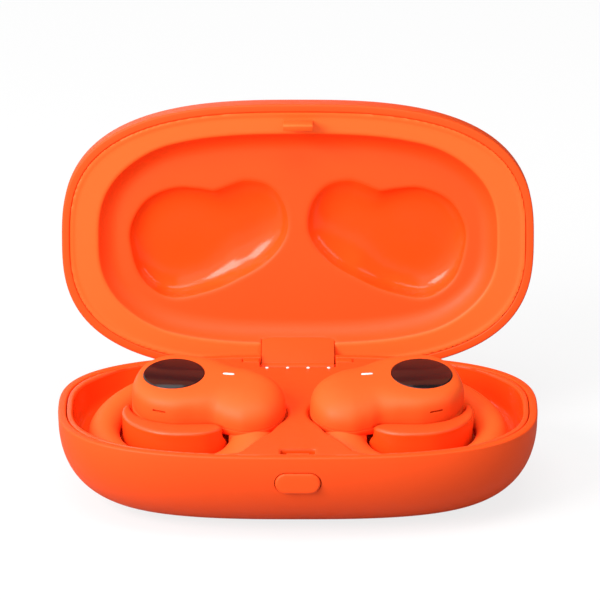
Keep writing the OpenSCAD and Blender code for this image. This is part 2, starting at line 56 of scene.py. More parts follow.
# one socket of a node tree, which links and adds up like a number
class Plug:
    def __init__(self, tree, socket=None):
        self.tree, self.socket = tree, socket

    def node(self, kind, values={}, out=0, **settings):
        made = self.tree.nodes.new(kind)
        for key, value in settings.items():
            setattr(made, key, value)
        for key, value in values.items():
            self.feed(made.inputs[key], value)
        return Plug(self.tree, made.outputs[out])

    def feed(self, target, value):
        if isinstance(value, Plug):
            self.tree.links.new(value.socket, target)
        else:
            target.default_value = value

    def __getitem__(self, name):
        return Plug(self.tree, self.socket.node.outputs[name])

    def math(self, operation, *terms):
        return self.node("ShaderNodeMath", dict(enumerate(terms)), operation=operation)

    def vector(self, operation, *terms, out=0):
        return self.node("ShaderNodeVectorMath", dict(enumerate(terms)), out, operation=operation)

    def mixed(self, share, first, second):
        # a mix node's colours are its inputs 6 and 7 and its output 2
        return self.node("ShaderNodeMix", {0: share, 6: first, 7: second}, 2, data_type="RGBA")

    def smooth(self, value, low, high, bottom=0.0, top=1.0):
        return self.node("ShaderNodeMapRange", {
            "Value": value, "From Min": low, "From Max": high, "To Min": bottom, "To Max": top,
        }, interpolation_type="SMOOTHSTEP")

    def __add__(self, term): return self.math("ADD", self, term)
    def __radd__(self, term): return self.math("ADD", term, self)
    def __sub__(self, term): return self.math("SUBTRACT", self, term)
    def __rsub__(self, term): return self.math("SUBTRACT", term, self)
    def __mul__(self, term): return self.math("MULTIPLY", self, term)
    def __truediv__(self, term): return self.math("DIVIDE", self, term)


# sizes that several pieces share, in millimetres and degrees
case = {
    "halfWidth": 48.0, "halfDepth": 28.0, "planPower": 2.78, "wall": 1.6, "around": 216,
    "rim": 19.0, "baseSpan": 20.0, "baseReach": 26.6, "basePower": 2.48, "floor": 2.4, "innerReach": 16.0,
    "lidHeight": 13.4, "lidReach": 11.8, "lidPower": 3.17, "lidCrown": 1.25, "lidThin": 1.2, "seam": 0.3,
    "lip": (0.4, 0.3), "lipClear": (0.5, 0.4), "liningDepth": 3.4, "open": 97.0, "hingeY": 26.7,
    "hingeZ": 16.0, "notchHalf": 7.7, "notchFront": 21.3, "buttonZ": 13.4, "socketZ": 8.23,
}
seat = {"at": (24.8, 1.3, 25.4), "tilt": 8.0, "turn": 10.0, "pinU": -15.8, "pinV": 1.0, "pinHalf": 1.7}
pod = {
    "outline": [(8.3, -0.8), (7.3, 5.6), (3.2, 9.8), (-3, 10.1), (-10, 8.8), (-17, 6.2), (-21.8, 1.8),
                (-22.9, -4), (-20.9, -9), (-16.4, -11.2), (-12.4, -10.5), (-9.6, -9.4), (-6.2, -9.9),
                (-1.2, -10.7), (4, -9.2), (7.4, -5.2)],
    "steps": 10, "spine": (-14.5, -1.0), "spineV": -0.7, "beyond": 3, "parting": -6.0, "wall": 1.0,
    "speakerDepth": 12.5, "batteryDepth": 9.0, "deeper": (-13, 8),
    "power": 2.8, "squarer": 2.4, "square": (-12, 9), "gapScale": 6.5,
}
hook = {
    "route": [(-16.9, -8.6, -7.8), (-16.9, -11.6, -9.2), (-14.6, -15.4, -10.6), (-10.6, -18.6, -11),
              (-5, -20.2, -11), (1, -20.1, -11), (6.7, -17.5, -11), (11, -13, -11), (13.3, -7.2, -11),
              (13.3, -1, -11), (11.6, 4.9, -11), (8.3, 10.4, -11), (4, 14.8, -11), (-0.4, 17.5, -11)],
    "root": 4.3, "mid": 3.2, "tip": 2.9, "thick": 2.75, "around": 40, "along": 150,
    "taperIn": 0.3, "taperOut": 0.6, "blunt": 0.03, "capFrom": 0.94,
}
nameOf = {1: "right", -1: "left"}
rim, basePower, lidPower = case["rim"], case["basePower"], case["lidPower"]
parting, spineV = pod["parting"], pod["spineV"]
spineIn, spineOut = pod["spine"]


def ramp(value, start, over):
    c = np.clip((value - start) / over, 0, 1)
    return c * c * (3 - 2 * c)


def splinePoints(points, steps, closed):
    c = np.array(points, float)
    n = len(c)
    out = []
    for i in range(n if closed else n - 1):
        p, q, r, s = (c[(i + k) % n] if closed else c[min(max(i + k, 0), n - 1)] for k in (-1, 0, 1, 2))
        for k in range(steps):
            t = k / steps
            cubic = (3 * q - p - 3 * r + s) * t ** 3
            out.append((2 * q + (r - p) * t + (2 * p - 5 * q + 4 * r - s) * t ** 2 + cubic) / 2)
    return np.array(out if closed else out + [c[-1]])


def turnX(degrees):
    a = math.radians(degrees)
    return np.array([[1, 0, 0], [0, math.cos(a), -math.sin(a)], [0, math.sin(a), math.cos(a)]])


def turnZ(degrees):
    a = math.radians(degrees)
    return np.array([[math.cos(a), -math.sin(a), 0], [math.sin(a), math.cos(a), 0], [0, 0, 1]])


seatTurn = turnZ(seat["turn"]) @ turnX(seat["tilt"])
lidTurn = turnX(-case["open"])
hingeAt = (0, case["hingeY"], case["hingeZ"])
lidBottom = rim + case["seam"]
faceZ = lidBottom + case["liningDepth"]


def quarter(count, end=math.pi / 2):
    return np.linspace(0, end, count)


def opened(points):
    return (np.asarray(points, float) - hingeAt) @ lidTurn.T + hingeAt


def seated(points, side):
    return (np.asarray(points, float) @ seatTurn.T + seat["at"]) * (side, 1, 1)


# equal steps along the plan outline at a middle inset, shared by every ring of the case
middleInset = 8
exponent = 2 / case["planPower"]


def planPoints(angle, inset):
    c, s = np.cos(angle), np.sin(angle)
    x = (case["halfWidth"] - inset) * np.sign(c) * np.abs(c) ** exponent
    y = (case["halfDepth"] - inset) * np.sign(s) * np.abs(s) ** exponent
    return np.stack([x, y], 1)


fineAngle = np.linspace(0, 2 * math.pi, 7201)
fineStep = np.linalg.norm(np.diff(planPoints(fineAngle, middleInset), axis=0), axis=1)
travel = np.concatenate([[0], np.cumsum(fineStep)])
ringAngle = np.interp(np.arange(case["around"]) / case["around"] * travel[-1], travel, fineAngle)


def caseRing(inset, z):
    return np.column_stack([planPoints(ringAngle, inset), np.full(case["around"], float(z))])


def drawIn(reach, share, power):
    return reach * (1 - np.maximum(0, 1 - np.clip(share, 0, 1) ** power) ** (1 / power))


def bulge(t, power):
    return math.sin(math.pi / 2 * t) ** (2 / power)


def baseInset(z):
    return drawIn(case["baseReach"], (rim - z) / case["baseSpan"], basePower)


def cavityInset(z):
    return case["wall"] + drawIn(case["innerReach"], (rim - z) / (rim - case["floor"]), basePower)


def lidInset(h):
    return drawIn(case["lidReach"], h / case["lidHeight"], lidPower)


def lidCavityInset(h):
    share = h / (case["lidHeight"] - case["lidCrown"])
    return case["wall"] + drawIn(case["lidReach"] - case["lidThin"], share, lidPower)


def loftFaces(count, rings):
    faces = []
    for k in range(rings - 1):
        a, b = k * count, (k + 1) * count
        faces += [(a + i, b + i, b + (i + 1) % count, a + (i + 1) % count) for i in range(count)]
    faces.append(tuple(range(count)))
    faces.append(tuple(reversed(range((rings - 1) * count, rings * count))))
    return faces


def edited(mesh, change):
    work = bmesh.new()
    work.from_mesh(mesh)
    change(work)
    work.to_mesh(mesh)
    work.free()


def meshOf(name, points, faces, recalc=True):
    mesh = bpy.data.meshes.new(name)
    spots = [tuple(p) for p in np.asarray(points, float) * mm]
    mesh.from_pydata(spots, [], [tuple(map(int, f)) for f in faces])
    if recalc:
        edited(mesh, lambda work: bmesh.ops.recalc_face_normals(work, faces=work.faces))
    mesh.update()
    return mesh


def objectOf(name, mesh):
    made = bpy.data.objects.new(name, mesh)
    bpy.context.scene.collection.objects.link(made)
    return made


def drop(obj):
    mesh = obj.data
    bpy.data.objects.remove(obj)
    bpy.data.meshes.remove(mesh)


def pointsOf(obj):
    return np.array([v.co for v in obj.data.vertices]) / mm


def loftObject(name, rings):
    return objectOf(name, meshOf(name, np.concatenate(rings), loftFaces(len(rings[0]), len(rings))))


def settle(obj):
    # modifiers become plain mesh
    graph = bpy.context.evaluated_depsgraph_get()
    mesh = bpy.data.meshes.new_from_object(obj.evaluated_get(graph), depsgraph=graph)
    obj.modifiers.clear()
    old = obj.data
    obj.data = mesh
    bpy.data.meshes.remove(old)
    mesh.name = obj.name
    return obj


def carve(obj, cutters):
    for cutter in cutters:
        cut = obj.modifiers.new("cut", "BOOLEAN")
        cut.operation, cut.object, cut.solver = "DIFFERENCE", cutter, "EXACT"
    settle(obj)
    for cutter in cutters:
        drop(cutter)


def softEdges(obj, width, segments=3):
    bevel = obj.modifiers.new("edge", "BEVEL")
    bevel.width, bevel.segments, bevel.limit_method = width * mm, segments, "ANGLE"
    bevel.angle_limit = math.radians(30)
    return settle(obj)


def joined(name, parts):
    mesh = bpy.data.meshes.new(name)
    edited(mesh, lambda work: [work.from_mesh(part.data) for part in parts])
    for part in parts:
        drop(part)
    return objectOf(name, mesh)


def smoothFaces(obj, angle):
    def sharpen(work):
        for edge in work.edges:
            edge.smooth = len(edge.link_faces) == 2 and edge.calc_face_angle(0) < math.radians(angle)

    obj.data.polygons.foreach_set("use_smooth", [True] * len(obj.data.polygons))
    edited(obj.data, sharpen)


def dress(obj, body, slot, *stoodFor, angle=35, finish=None):
    # a piece wears its slot's finish, or another slot's
    smoothFaces(obj, angle)
    obj.data.materials.clear()
    obj.data.materials.append(finishOf[finish or slot])
    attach(obj, body)
    if stoodFor:
        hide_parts(*stoodFor)


def pillOutline(width, height, n=16):
    r = height / 2
    arc = np.linspace(-math.pi / 2, math.pi / 2, n)
    right = np.stack([width / 2 - r + r * np.cos(arc), r * np.sin(arc)], 1)
    return np.concatenate([right, -right])


def standing(outline, y, z):
    return np.stack([outline[:, 0], np.full(len(outline), y), z + outline[:, 1]], 1)


def prism(name, outline, place):
    # outline rows go through place(u, v, level) at both ends
    return loftObject(name, [np.array([place(u, v, level) for u, v in outline]) for level in (0, 1)])


def crossPrism(name, outline, half):
    # outline rows are y and z, drawn out to both sides of the middle
    return prism(name, outline, lambda u, v, k: ((2 * k - 1) * half, u, v))


def pillPrism(name, width, height, z, front, back):
    return prism(name, pillOutline(width, height), lambda u, v, k: (u, front + (back - front) * k, z + v))


def boxObject(name, low, high):
    outline = [(low[0], low[1]), (high[0], low[1]), (high[0], high[1]), (low[0], high[1])]
    return prism(name, outline, lambda u, v, k: (u, v, low[2] + (high[2] - low[2]) * k))


def lathe(name, profile, place, n=64):
    # profile rows are radius and height, from the axis to the axis
    a = np.linspace(0, 2 * math.pi, n, endpoint=False)

    def ring(radius, height):
        r = max(radius, 1e-3)
        return np.stack([r * np.cos(a), r * np.sin(a), np.full(n, height)], 1)

    return loftObject(name, [place(ring(*row)) for row in profile])


def roundCut(name, radius, low, high, place, n):
    return lathe(name, [(0, low), (radius, low), (radius, high), (0, high)], place, n)


def nodeGroup(name, result, sockets):
    group = bpy.data.node_groups.new(name, "GeometryNodeTree")
    for label, kind in sockets.items():
        group.interface.new_socket(label, in_out="INPUT", socket_type="NodeSocket" + kind)
    group.interface.new_socket(result, in_out="OUTPUT", socket_type="NodeSocketGeometry")
    pen = Plug(group)
    return pen, pen.node("NodeGroupInput")


def endGroup(pen, geometry, finish):
    real = pen.node("GeometryNodeRealizeInstances", {"Geometry": geometry})
    worn = pen.node("GeometryNodeSetMaterial", {"Geometry": real, "Material": finish})
    pen.feed(pen.tree.nodes.new("NodeGroupOutput").inputs[0], worn)
    return pen.tree


def grown(obj, group, wanted):
    # inputs are set by socket identifier, and the result is kept as plain mesh
    maker = obj.modifiers.new(group.name, "NODES")
    maker.node_group = group
    for item in group.interface.items_tree:
        if item.in_out == "INPUT" and item.name in wanted:
            maker[item.identifier] = wanted[item.name]
    return settle(obj)


plastic = {"drift": (38.0, 3.0), "fine": (5200.0, 2.0), "cloud": (420.0, 4.0), "wander": 0.12, "bump": 0.25,
           "polish": 0.10, "polishWander": 0.05}
metalGrain = {"streak": (900.0, 4.0), "wander": 0.16}


def newMaterial(name, **constants):
    material = bpy.data.materials.new(name)
    material.use_nodes = True
    shader = material.node_tree.nodes["Principled BSDF"]
    for key, value in constants.items():
        shader.inputs[key].default_value = value
    return material, Plug(material.node_tree), shader


def noise(board, where, scale, detail):
    return board.node("ShaderNodeTexNoise", {"Vector": where, "Scale": scale, "Detail": detail})


def moulded(name, colour, deep, rough, shine=0.5, grain=0.00006, glossy=None, paintedHighlight=None):
    # moulded plastic: slow colour drift, fine grain, a roughness that wanders a little, and where asked a
    # painted highlight patch in a lighter tone
    material, board, shader = newMaterial(name, **{"Specular IOR Level": shine})
    where = board.node("ShaderNodeTexCoord", out="Object")
    drift, fine, cloud = (noise(board, where, *plastic[key]) for key in ("drift", "fine", "cloud"))
    tint = board.mixed(drift, (*colour, 1), (*deep, 1))
    # painted highlight: the masked patch takes a lighter tone that stands for light falling on it
    if paintedHighlight is not None:
        tint = board.mixed(paintedHighlight[0](board, where), tint, (*paintedHighlight[1], 1))
    board.feed(shader.inputs["Base Color"], tint)
    roughness = rough + (cloud - 0.5) * plastic["wander"]
    if glossy is not None:
        mask = glossy(board, where)
        polish = plastic["polish"] + (cloud - 0.5) * plastic["polishWander"]
        roughness = roughness * (1 - mask) + polish * mask
    board.feed(shader.inputs["Roughness"], roughness)
    board.feed(shader.inputs["Normal"], board.node("ShaderNodeBump", {
        "Height": fine, "Strength": plastic["bump"], "Distance": grain}))
    return material


def metal(name, colour, deep, rough, stretch=(1, 1, 1), metallic=1.0):
    material, board, shader = newMaterial(name, Metallic=metallic)
    where = board.node("ShaderNodeTexCoord", out="Object")
    placed = board.node("ShaderNodeMapping", {"Vector": where, "Scale": stretch})
    streak = noise(board, placed, *metalGrain["streak"])
    board.feed(shader.inputs["Base Color"], board.mixed(streak, (*colour, 1), (*deep, 1)))
    board.feed(shader.inputs["Roughness"], rough + (streak - 0.5) * metalGrain["wander"])
    return material


def planeMask(normal, level, soft):
    # 1 on the far side of a plane, in the piece's own coordinates
    def mask(board, where):
        return board.smooth(board.vector("DOT_PRODUCT", where, normal, out="Value"), level, level + soft)
    return mask


def boardFinish(name):
    material, board, shader = newMaterial(name, Roughness=0.45)
    where = board.node("ShaderNodeTexCoord", out="Object")
    lanes = board.node("ShaderNodeTexBrick", {
        "Vector": where, "Scale": 420.0, "Mortar Size": 0.03, "Mortar": (0.03, 0.17, 0.08, 1),
        "Color1": (0.012, 0.09, 0.035, 1), "Color2": (0.016, 0.11, 0.045, 1)}, offset=0.5)
    board.feed(shader.inputs["Base Color"], lanes)
    return material


faceNormal = lidTurn[:, 2]
faceLevel = float(faceNormal @ opened([[0, 0, faceZ]])[0]) * mm
seatLevel = -0.0186
ledgeLevel = 0.0029 - faceLevel

orange = (1.0, 0.088, 0.009)
orangeDeep = (0.96, 0.078, 0.007)
# painted highlight: the lining's ledge band is painted a lighter orange for the light it catches, not a
# colour of its own
ledgePaintedHighlight = (1.0, 0.135, 0.018)
finishOf = {
    "case_shell": moulded("softTouchOrange", orange, orangeDeep, 0.5, 0.22),
    "tray": moulded("polishedSeatOrange", (1.0, 0.086, 0.009), (0.96, 0.076, 0.007), 0.44,
                    glossy=planeMask((0, 0, -1), seatLevel, 0.0005)),
    # the lining's ledge band wears the painted highlight, masked by the ledge's plane
    "lining": moulded("liningOrange", orange, orangeDeep, 0.5, 0.26,
                      glossy=planeMask(tuple(faceNormal), faceLevel + 0.0001, 0.0003),
                      paintedHighlight=(planeMask(tuple(-faceNormal), ledgeLevel, 0.0002), ledgePaintedHighlight)),
    "bud_shell": moulded("satinBudOrange", (1.0, 0.115, 0.014), (0.97, 0.102, 0.011), 0.56, 0.3),
    "silicone": moulded("siliconeOrange", (1.0, 0.125, 0.016), (0.97, 0.112, 0.013), 0.6, 0.28, 0.00009),
    "touch_disc": moulded("pianoBlack", (0.010, 0.009, 0.010), (0.007, 0.007, 0.008), 0.07, 0.36, 0.000002),
    "light": moulded("frostedWhite", (0.92, 0.92, 0.90), (0.86, 0.86, 0.85), 0.3),
    "pin_block": moulded("blackMoulding", (0.018, 0.018, 0.019), (0.012, 0.012, 0.013), 0.4),
    "gold": metal("platedGold", (1.0, 0.70, 0.20), (0.92, 0.58, 0.13), 0.3, metallic=0.55),
    "steel": metal("drawnSteel", (0.62, 0.62, 0.64), (0.48, 0.48, 0.50), 0.3, (1, 8, 1)),
    "socket": metal("tinnedShell", (0.66, 0.66, 0.67), (0.52, 0.52, 0.54), 0.32, (6, 1, 1)),
    "mesh": metal("blackenedMesh", (0.10, 0.10, 0.105), (0.06, 0.06, 0.064), 0.4),
    "cell": metal("cellFoil", (0.60, 0.61, 0.63), (0.5, 0.51, 0.53), 0.35, (1, 5, 1)),
    "board": boardFinish("greenBoard"),
}
finishOf["magnet"] = finishOf["driver"] = finishOf["steel"]
print("finishes made")

# the CAD solids wear their finish too, since the inner ones stay as they are
for entry in frame["record"]["subparts"]:
    solid = nodes[entry["node"]]
    solid.data.materials.clear()
    solid.data.materials.append(finishOf[entry["material_slot"]])

baseShell = {
    "levels": 46, "start": 0.06, "notchLow": 13.8, "notchFar": (60, 22), "buttonHole": (9.4, 4.8),
    "buttonCut": (-40, -18.6), "socketHole": (9.5, 3.8), "socketCut": (16, 40),
}


def lipRows(steps=6):
    # rounded lip as rows of inset and depth below the rim, from the outer wall to the inner one
    outer, inner = case["lip"]
    turn = [(math.cos(a), math.sin(a)) for a in quarter(steps)]
    rows = [(outer - outer * c, outer - outer * s) for c, s in turn]
    return rows + [(case["wall"] - inner + inner * c, inner - inner * s) for c, s in turn[::-1]]


def wallHeights(span, power, count, start, end=1):
    # heights below or above the rim, close together where the wall turns in
    return [span * bulge(t, power) for t in np.linspace(start, end, count)]


lowest = math.asin((rim / case["baseSpan"]) ** (basePower / 2)) / (math.pi / 2)
levels, start = baseShell["levels"], baseShell["start"]
outside = [rim - h for h in wallHeights(case["baseSpan"], basePower, levels, lowest, start)]
inside = [rim - h for h in wallHeights(rim - case["floor"], basePower, levels // 2, start)]
outerClear, innerClear = case["lipClear"]
baseRings = [caseRing(baseInset(z), z) for z in outside if z < rim - outerClear]
baseRings += [caseRing(inset, rim - fall) for inset, fall in lipRows()]
baseRings += [caseRing(cavityInset(z), z) for z in inside if z < rim - innerClear]
base = loftObject("baseShell", baseRings)
carve(base, [
    boxObject("hingeNotch", (-case["notchHalf"], case["notchFront"], baseShell["notchLow"]),
              (case["notchHalf"], *baseShell["notchFar"])),
    pillPrism("buttonHole", *baseShell["buttonHole"], case["buttonZ"], *baseShell["buttonCut"]),
    pillPrism("socketHole", *baseShell["socketHole"], case["socketZ"], *baseShell["socketCut"]),
])
dress(base, "case_base", "case_shell", "base_shell", angle=40)

ears = {"spans": [(-11.22, -7.7), (7.7, 11.22)], "low": (24.3, 14.1), "high": (27.6, 18.85), "soft": 0.45}
earPieces = [boxObject("hingeEar", (a, *ears["low"]), (b, *ears["high"])) for a, b in ears["spans"]]
dress(softEdges(joined("hingeEars", earPieces), ears["soft"], 4), "case_base", "case_shell")

lidShell = {"levels": 40, "start": 0.08}
levels, start = lidShell["levels"], lidShell["start"]
inside = wallHeights(case["lidHeight"] - case["lidCrown"], lidPower, levels // 2, start)[::-1]
inside = [lidBottom + h for h in inside]
outside = [lidBottom + h for h in wallHeights(case["lidHeight"], lidPower, levels, start)]
lidRings = [caseRing(lidCavityInset(z - lidBottom), z) for z in inside if z > lidBottom + innerClear]
lidRings += [caseRing(inset, lidBottom + rise) for inset, rise in lipRows()[::-1]]
lidRings += [caseRing(lidInset(z - lidBottom), z) for z in outside if z > lidBottom + outerClear]
lidPiece = loftObject("lidShell", [opened(r) for r in lidRings])
dress(lidPiece, "lid", "case_shell", "lid_shell", angle=40)
print("case shells made")


# the tray and the lining are drawn from distance fields
def softMax(a, b, k):
    h = np.clip(0.5 + 0.5 * (a - b) / k, 0, 1)
    return b * (1 - h) + a * h + k * h * (1 - h)


def softMin(a, b, k):
    return -softMax(-a, -b, k)


corners = [(i, j, k) for i in (0, 1) for j in (0, 1) for k in (0, 1)]
cellEdges = [(a, b) for a in corners for b in corners
             if sum(b) - sum(a) == 1 and all(q >= p for p, q in zip(a, b))]


def surfaceNet(field, low, high, step, bend=None):
    # bend carries the even grid to the real one, where thin walls need closer lines
    axes = [np.arange(a, b + step, step) for a, b in zip(low, high)]
    grid = np.stack(np.meshgrid(*axes, indexing="ij"), -1)
    real = bend(grid) if bend else grid
    value = field(real[..., 0], real[..., 1], real[..., 2])
    cells = tuple(n - 1 for n in value.shape)

    def shifted(array, corner):
        return array[tuple(slice(c, c + n) for c, n in zip(corner, cells))]

    total, count = np.zeros(cells + (3,)), np.zeros(cells)
    for a, b in cellEdges:
        fa, fb = shifted(value, a), shifted(value, b)
        hit = (fa < 0) != (fb < 0)
        share = np.where(hit, fa / np.where(hit, fa - fb, 1), 0)
        for axis in range(3):
            total[..., axis] += hit * (a[axis] + share * (b[axis] - a[axis]))
        count += hit
    live = count > 0
    index = np.full(cells, -1)
    index[live] = np.arange(live.sum())
    spots = np.stack(np.nonzero(live), -1)
    points = low + step * (spots + total[live] / count[live][:, None])
    points = bend(points) if bend else points

    faces = []
    for axis in range(3):
        other = [(axis + 1) % 3, (axis + 2) % 3]
        here = tuple(slice(int(i != axis), -1) for i in range(3))
        there = tuple(slice(1, None if i == axis else -1) for i in range(3))
        fa, fb = value[here] < 0, value[there] < 0
        for going, forward in ((fa & ~fb, True), (~fa & fb, False)):
            spot = np.stack(np.nonzero(going), -1)
            ring = []
            for move in ((0, 0), (1, 0), (1, 1), (0, 1)):
                cell = spot.copy()
                cell[:, other] += move
                ring.append(index[tuple(cell.T)])
            quad = np.stack(ring, 1)
            faces.append(quad if forward else quad[:, ::-1])
    for k in range(4):
        points = drawn(field, points, step)
    return points, np.concatenate(faces)


def drawn(field, points, step, nudge=0.02):
    # one step towards the field's zero
    def change(d):
        return (field(*(points + nudge * d).T) - field(*(points - nudge * d).T)) / (2 * nudge)

    here = field(*points.T)
    slope = np.stack([change(d) for d in np.eye(3)], 1)
    size = np.maximum((slope ** 2).sum(1), 0.05)
    return points - np.clip((here / size)[:, None] * slope, -step / 3, step / 3)


podEdge = splinePoints(pod["outline"], pod["steps"], True)
podSide = np.roll(podEdge, -1, 0) - np.roll(podEdge, 1, 0)
podOut = np.stack([podSide[:, 1], -podSide[:, 0]], 1) / np.linalg.norm(podSide, axis=1)[:, None]


def podShare(u, v, grow):
    # share of the way from the spine to the grown outline
    edge = podEdge + grow * podOut
    dv = v - spineV
    middle = (edge[:, 0] > spineIn - pod["beyond"]) & (edge[:, 0] < spineOut + pod["beyond"])
    upper, lower = edge[middle & (edge[:, 1] > 0)], edge[middle & (edge[:, 1] < 0)]
    upper, lower = upper[np.argsort(upper[:, 0])], lower[np.argsort(lower[:, 0])]
    top = np.interp(u, upper[:, 0], upper[:, 1]) - spineV
    low = spineV - np.interp(u, lower[:, 0], lower[:, 1])
    share = np.where(dv > 0, dv / top, -dv / low)
    for end, past in ((spineOut, u > spineOut), (spineIn, u < spineIn)):
        ray = edge - (end, spineV)
        angle, far = np.arctan2(ray[:, 1], ray[:, 0]), np.linalg.norm(ray, axis=1)
        order = np.argsort(angle)
        reach = np.interp(np.arctan2(dv, u - end), angle[order], far[order], period=2 * math.pi)
        share = np.where(past, np.hypot(u - end, dv) / reach, share)
    return share


def bellyDepth(u, extra):
    more = pod["speakerDepth"] - pod["batteryDepth"]
    return pod["batteryDepth"] + more * ramp(u, *pod["deeper"]) + extra


def crownPower(u):
    return pod["power"] + pod["squarer"] * ramp(u, *pod["square"])


def seatFrame(x, y, z):
    q = np.stack([np.abs(x) - seat["at"][0], y - seat["at"][1], z - seat["at"][2]], -1) @ seatTurn
    return q[..., 0], q[..., 1], q[..., 2]


def podGap(plan, height, power):
    return ((plan ** power + np.maximum(0, height) ** power) ** (1 / power) - 1) * pod["gapScale"]


def bellyGap(u, v, w, grow, extra):
    return podGap(podShare(u, v, grow), (parting - w) / (bellyDepth(u, extra) + parting), pod["power"])


def crownGap(u, v, w, grow, top):
    return podGap(podShare(u, v, grow), (w - parting) / (top - parting), crownPower(u))


hookLine = splinePoints(hook["route"], 4, False)
channel = {"outer": 0.6, "inner": 0.55, "open": 8, "openFrom": 0.1, "openOver": 0.2}


def hookHalf(t):
    half = hook["root"] + (hook["mid"] - hook["root"]) * ramp(t, 0, hook["taperIn"])
    return half + (hook["tip"] - hook["mid"]) * ramp(t, hook["taperOut"], 1 - hook["taperOut"])


def channelGap(u, v):
    # plan distance into the hook's channel, open outwards along the bend
    best = np.full(u.shape, 1e9)
    gap = np.full(u.shape, 1e9)
    n = len(hookLine) - 1
    for i in range(n):
        a, b = hookLine[i][:2], hookLine[i + 1][:2]
        d = b - a
        long = float(d @ d)
        share = ((u - a[0]) * d[0] + (v - a[1]) * d[1]) / long
        held = np.clip(share, 0, 1)
        du, dv = u - a[0] - held * d[0], v - a[1] - held * d[1]
        away = np.hypot(du, dv)
        t = (i + held) / n
        half = hookHalf(t)
        across = (du * d[1] - dv * d[0]) / math.sqrt(long)
        past = ((share < 0) & (i == 0)) | ((share > 1) & (i == n - 1))
        opening = ramp(t, channel["openFrom"], channel["openOver"]) * ramp(1 - t, 0, channel["openOver"])
        wide = half + channel["outer"] + channel["open"] * opening
        signed = np.where(across > 0, away, -away)
        along = np.maximum(-signed - half - channel["inner"], signed - wide)
        near = away < best
        best = np.where(near, away, best)
        gap = np.where(near, np.where(past, away - half - channel["outer"], along), gap)
    return gap


def planShare(x, y, inset):
    p = case["planPower"]
    return (np.abs(x) / (case["halfWidth"] - inset)) ** p + (np.abs(y) / (case["halfDepth"] - inset)) ** p


def planGap(x, y, inset):
    r = np.maximum(1e-6, planShare(x, y, inset)) ** (1 / case["planPower"])
    return np.hypot(x, y) * (1 - 1 / r)


def roomGap(x, y, z, room, soft=0.2):
    # a room has a half width, and an edge and the side it is shut on along y and z
    half, yEdge, ySide, zEdge, zSide = room
    return softMax(softMax(np.abs(x) - half, ySide * (y - yEdge), soft), zSide * (z - zEdge), soft)


# bar is the half width, back, front and foot of the bar across the front of the latch slot
tray = {
    "low": (-48.7, -28.7, 6.2), "high": (48.7, 28.7, 19.4), "step": 0.42, "top": 18.9, "bottom": 7.0,
    "gap": 0.2, "soft": 0.15, "pocket": (0.5, 0.4), "channelFloor": -14.2, "floorSoft": 2.6, "wallSoft": 1.8,
    "joinSoft": 1.4, "skirt": 0.3, "endSkirt": 0.8, "ends": (34, 8), "band": 0.8, "stretch": 3.0,
    "edge": 0.7, "skirtEdge": 0.1, "edgeRamp": (0.5, 1.2),
    "dimple": (1.15, -10.2), "dimpleSoft": (0.5, 0.6), "bore": (0.82, -11.8), "pinTop": -8,
    "rooms": {"hinge": (case["notchHalf"], case["notchFront"], -1, 13.6, -1),
              "ears": (11.3, 24.0, -1, 13.8, -1),
              "slot": (3.4, -23.0, 1, 11.4, -1), "socket": (6, 15, -1, 10.43, 1),
              "latch": (5.6, -18.6, 1, 16.6, 1)},
    "bar": (2.25, -24.95, -25.75, 16.9),
}


def trayBend(grid):
    # the outer band is sampled more closely
    x, y, z = grid[..., 0], grid[..., 1], grid[..., 2]
    r = planShare(x, y, cavityInset(z) + tray["gap"]) ** (1 / case["planPower"])
    far = np.maximum(np.hypot(x, y), 1e-6)
    edge = far / np.maximum(r, 1e-6)
    extra = tray["band"] * (tray["stretch"] - 1)
    depth = edge + extra - far
    depth = np.where(depth < tray["band"] * tray["stretch"], depth / tray["stretch"], depth - extra)
    scale = np.where(depth < tray["band"], (edge - depth) / far, 1)
    return np.stack([x * scale, y * scale, z], -1)


def trayField(x, y, z):
    inset = cavityInset(z) + tray["gap"]
    wall = planGap(x, y, inset)
    body = softMax(wall, z - tray["top"], tray["soft"])
    body = np.maximum(body, tray["bottom"] - z)
    u, v, w = seatFrame(x, y, z)
    pocket = bellyGap(u, v, w, *tray["pocket"])
    groove = softMax(channelGap(u, v), tray["channelFloor"] - w, tray["floorSoft"])
    skirt = tray["skirt"] + tray["endSkirt"] * ramp(np.abs(x), *tray["ends"])
    groove = softMax(groove, planGap(x, y, inset + skirt), tray["wallSoft"])
    cut = softMin(pocket, groove, tray["joinSoft"])
    floorSoft, sideSoft = tray["dimpleSoft"]
    for k in (-1, 1):
        off = np.hypot(u - seat["pinU"] - k * seat["pinHalf"], v - seat["pinV"])
        dimple = softMax(off - tray["dimple"][0], tray["dimple"][1] - w, floorSoft)
        cut = softMin(cut, np.maximum(dimple, w - tray["pinTop"]), sideSoft)
        bore = np.maximum(off - tray["bore"][0], tray["bore"][1] - w)
        cut = np.minimum(cut, np.maximum(bore, w - tray["pinTop"]))
    edge = tray["skirtEdge"] + (tray["edge"] - tray["skirtEdge"]) * ramp(-wall, *tray["edgeRamp"])
    body = softMax(body, -cut, edge)
    half, back, front, foot = tray["bar"]
    bar = np.maximum(np.minimum(np.maximum(np.abs(x) - half, y - back), y - front), foot - z)
    for name, room in tray["rooms"].items():
        gap = roomGap(x, y, z, room)
        body = softMax(body, -(np.maximum(gap, -bar) if name == "slot" else gap), tray["soft"])
    return body


points, faces = surfaceNet(trayField, tray["low"], tray["high"], tray["step"], trayBend)
trayPiece = objectOf("seatTray", meshOf("seatTray", points, faces))
dress(trayPiece, "case_base", "tray", "tray", angle=60)
print("tray made:", len(faces), "faces")

